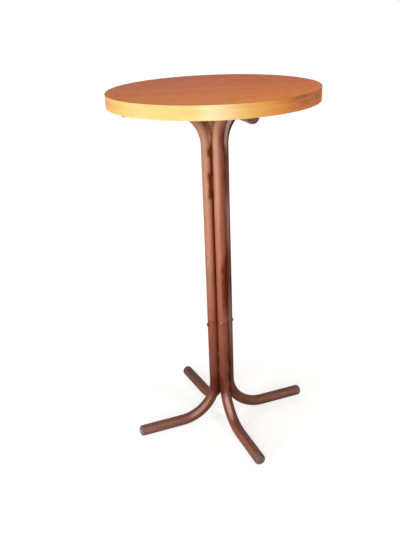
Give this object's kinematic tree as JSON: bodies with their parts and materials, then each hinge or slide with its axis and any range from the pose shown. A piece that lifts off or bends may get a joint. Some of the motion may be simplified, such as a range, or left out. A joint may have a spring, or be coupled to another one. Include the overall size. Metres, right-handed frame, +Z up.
{
  "type": "pub table",
  "caption": "Bar-height pub table: round wooden top, lipped and veneered, on a column of bent lacquered steel tubes that spread into feet below and arms above.",
  "frame": {"origin": "on the floor, at the middle of the four feet and under the centre of the round top", "axes": "+Z up; +X along foot and arm 1, +Y along arm 2 (foot 2 is turned 5 degrees past it), -X along foot 3 (arm 3 is turned 7 degrees from it towards +Y), -Y along foot and arm 4"},
  "size_m": [0.608, 0.608, 1.1],
  "materials": {
    "varnished_veneer": "satin varnished",
    "varnished_lipping": "satin varnished",
    "core_board": "raw",
    "backing": "matt",
    "brown_lacquer": "gloss lacquer over steel, worn",
    "bare_steel": "zinc plated",
    "dark_screw": "blackened",
    "grey_plug": "matt, scuffed",
    "brown_plug": "satin"
  },
  "bodies": {
    "root": {"face_veneer": "varnished_veneer", "board_core": "core_board", "backing_sheet": "backing", "edge_lipping_1": "varnished_lipping", "edge_lipping_2": "varnished_lipping", "edge_lipping_3": "varnished_lipping", "edge_lipping_4": "varnished_lipping", "leg_tube_1": "brown_lacquer", "upright_tube_1": "brown_lacquer", "joint_sleeve_1": "bare_steel", "lock_screw_1": "dark_screw", "foot_plug_1": "grey_plug", "arm_plug_1": "brown_plug", "inner_arm_screw_1": "bare_steel", "outer_arm_screw_1": "bare_steel", "leg_tube_2": "brown_lacquer", "upright_tube_2": "brown_lacquer", "joint_sleeve_2": "bare_steel", "foot_plug_2": "grey_plug", "arm_plug_2": "brown_plug", "inner_arm_screw_2": "bare_steel", "outer_arm_screw_2": "bare_steel", "leg_tube_3": "brown_lacquer", "upright_tube_3": "brown_lacquer", "joint_sleeve_3": "bare_steel", "lock_screw_3": "dark_screw", "foot_plug_3": "grey_plug", "arm_plug_3": "brown_plug", "inner_arm_screw_3": "bare_steel", "outer_arm_screw_3": "bare_steel", "leg_tube_4": "brown_lacquer", "upright_tube_4": "brown_lacquer", "joint_sleeve_4": "bare_steel", "foot_plug_4": "grey_plug", "arm_plug_4": "brown_plug", "inner_arm_screw_4": "bare_steel", "outer_arm_screw_4": "bare_steel", "upper_weld_beads": "brown_lacquer", "lower_weld_beads": "brown_lacquer"}
  },
  "joints": []
}
